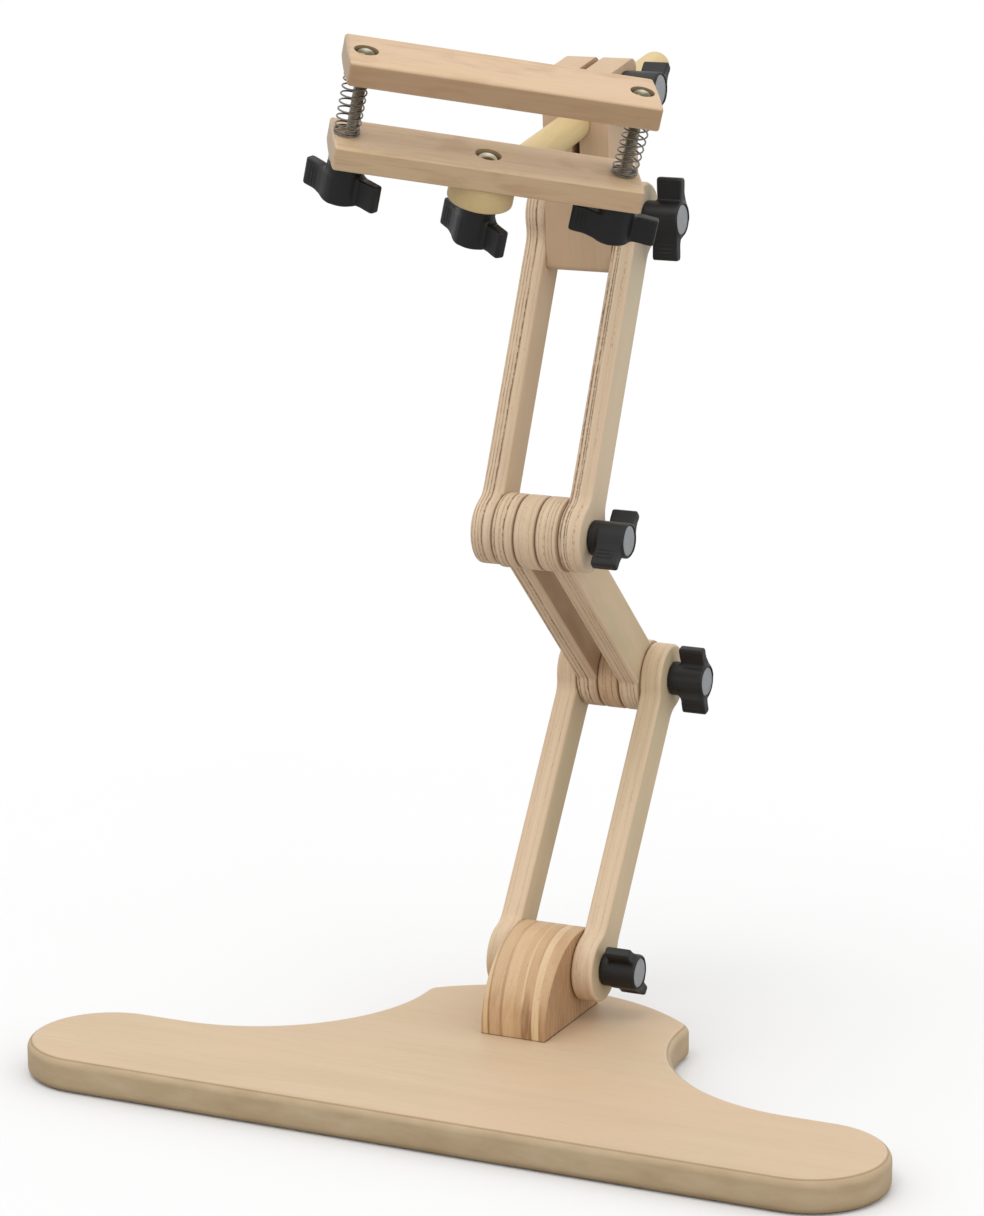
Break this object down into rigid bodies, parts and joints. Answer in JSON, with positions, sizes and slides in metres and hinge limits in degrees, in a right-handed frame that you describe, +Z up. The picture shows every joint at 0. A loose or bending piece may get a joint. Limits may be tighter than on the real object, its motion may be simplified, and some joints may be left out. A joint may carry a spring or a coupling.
{
  "type": "embroidery stand",
  "caption": "Wooden table stand that holds an embroidery frame: shaped board, three-link folding arm with wing knobs, and a swivelling sprung clamp on a sliding dowel.",
  "frame": {"origin": "middle of the underside of the board, midway between its side lobes", "axes": "+X to the user's right seen from the front, -Y towards the user, +Z up"},
  "size_m": [0.463, 0.311, 0.5331],
  "materials": {
    "board": "sanded veneer, clear satin",
    "laminate": "sanded laminated wood, clear satin",
    "plywood": "sanded birch plywood",
    "beech": "sanded beech",
    "dowel_wood": "sanded pale hardwood",
    "cap": "satin grey",
    "knob": "satin black",
    "spring_wire": "drawn wire",
    "steel": "nickel plated"
  },
  "bodies": {
    "base": {"base_board": "board", "pivot_block": "laminate"},
    "lower_arms": {"lower_arm_left": "plywood", "lower_arm_right": "plywood", "pivot_bolt_a": "steel", "pivot_bolt_b": "steel"},
    "link": {"link_bar_left": "plywood", "link_bar_right": "plywood", "link_spacer_lower": "plywood", "link_spacer_upper": "plywood"},
    "upper_arms": {"upper_arm_left": "plywood", "upper_arm_right": "plywood", "pivot_bolt_c": "steel", "pivot_bolt_d": "steel"},
    "head": {"head_block": "beech", "kerf_bolt": "steel"},
    "dowel": {"dowel": "dowel_wood"},
    "dowel_foot": {"dowel_foot": "dowel_wood", "centre_washer": "steel"},
    "lower_jaw": {"lower_jaw": "beech", "centre_bolt": "steel", "jaw_spring_left": "spring_wire", "jaw_spring_right": "spring_wire", "jaw_washer_left": "steel", "jaw_washer_right": "steel"},
    "upper_jaw": {"upper_jaw": "beech", "jaw_bolt_left": "steel", "jaw_bolt_right": "steel"},
    "knob_a": {"knob_a": "knob", "knob_cap_a": "cap"},
    "knob_b": {"knob_b": "knob", "knob_cap_b": "cap"},
    "knob_c": {"knob_c": "knob", "knob_cap_c": "cap"},
    "knob_d": {"knob_d": "knob", "knob_cap_d": "cap"},
    "kerf_knob": {"kerf_knob": "knob", "kerf_knob_cap": "cap"},
    "centre_knob": {"centre_knob": "knob", "centre_knob_cap": "cap"},
    "jaw_knob_left": {"jaw_knob_left": "knob", "jaw_knob_cap_left": "cap"},
    "jaw_knob_right": {"jaw_knob_right": "knob", "jaw_knob_cap_right": "cap"}
  },
  "joints": [
    {"name": "lower_pivot", "type": "hinge", "parent": "base", "child": "lower_arms", "pos_m": [0, 0.068, 0.045], "axis": [1, 0, 0], "range_deg": [-45, 60]},
    {"name": "link_pivot", "type": "hinge", "parent": "lower_arms", "child": "link", "pos_m": [0, 0.15788, 0.17978], "axis": [-1, 0, 0], "range_deg": [-65, 90]},
    {"name": "upper_pivot", "type": "hinge", "parent": "link", "child": "upper_arms", "pos_m": [0, 0.04904, 0.27709], "axis": [1, 0, 0], "range_deg": [-90, 90]},
    {"name": "head_pivot", "type": "hinge", "parent": "upper_arms", "child": "head", "pos_m": [0, 0.11564, 0.43024], "axis": [-1, 0, 0], "range_deg": [-45, 75]},
    {"name": "dowel_slide", "type": "slide", "parent": "head", "child": "dowel", "axis": [0, 0.9811, 0.1934], "range_m": [-0.04, 0.03]},
    {"name": "dowel_roll", "type": "hinge", "parent": "dowel", "child": "dowel_foot", "pos_m": [0, -0.0198, 0.456], "axis": [0, 0.9811, 0.1934], "continuous": true},
    {"name": "clamp_turn", "type": "hinge", "parent": "dowel_foot", "child": "lower_jaw", "pos_m": [0, -0.0198, 0.456], "axis": [0.2874, -0.1852, 0.9397], "range_deg": [-88, 32]},
    {"name": "jaw_slide", "type": "slide", "parent": "lower_jaw", "child": "upper_jaw", "axis": [0.2874, -0.1852, 0.9397], "range_m": [-0.0125, 0], "deforming": ["jaw_spring_left", "jaw_spring_right"]},
    {"name": "knob_a_turn", "type": "hinge", "parent": "lower_arms", "child": "knob_a", "pos_m": [0, 0.068, 0.045], "axis": [1, 0, 0], "range_deg": [0, 720]},
    {"name": "knob_b_turn", "type": "hinge", "parent": "lower_arms", "child": "knob_b", "pos_m": [0, 0.15788, 0.17978], "axis": [1, 0, 0], "range_deg": [0, 720]},
    {"name": "knob_c_turn", "type": "hinge", "parent": "upper_arms", "child": "knob_c", "pos_m": [0, 0.04904, 0.27709], "axis": [1, 0, 0], "range_deg": [0, 720]},
    {"name": "knob_d_turn", "type": "hinge", "parent": "upper_arms", "child": "knob_d", "pos_m": [0, 0.11564, 0.43024], "axis": [1, 0, 0], "range_deg": [0, 720]},
    {"name": "kerf_knob_turn", "type": "hinge", "parent": "head", "child": "kerf_knob", "pos_m": [0, 0.11387, 0.49528], "axis": [1, 0, 0], "range_deg": [0, 720]},
    {"name": "centre_knob_turn", "type": "hinge", "parent": "lower_jaw", "child": "centre_knob", "pos_m": [0, -0.0198, 0.456], "axis": [-0.2874, 0.1852, -0.9397], "range_deg": [0, 720]},
    {"name": "jaw_knob_left_turn", "type": "hinge", "parent": "lower_jaw", "child": "jaw_knob_left", "pos_m": [-0.05583, -0.05383, 0.46636], "axis": [-0.2874, 0.1852, -0.9397], "range_deg": [-4520, 20]},
    {"name": "jaw_knob_right_turn", "type": "hinge", "parent": "lower_jaw", "child": "jaw_knob_right", "pos_m": [0.05583, 0.01423, 0.44564], "axis": [-0.2874, 0.1852, -0.9397], "range_deg": [-4520, 20]}
  ],
  "couplings": [
    {"joint": "jaw_knob_left_turn", "follows": "jaw_slide", "rad_per_m": 6283.2},
    {"joint": "jaw_knob_right_turn", "follows": "jaw_slide", "rad_per_m": 6283.2}
  ]
}
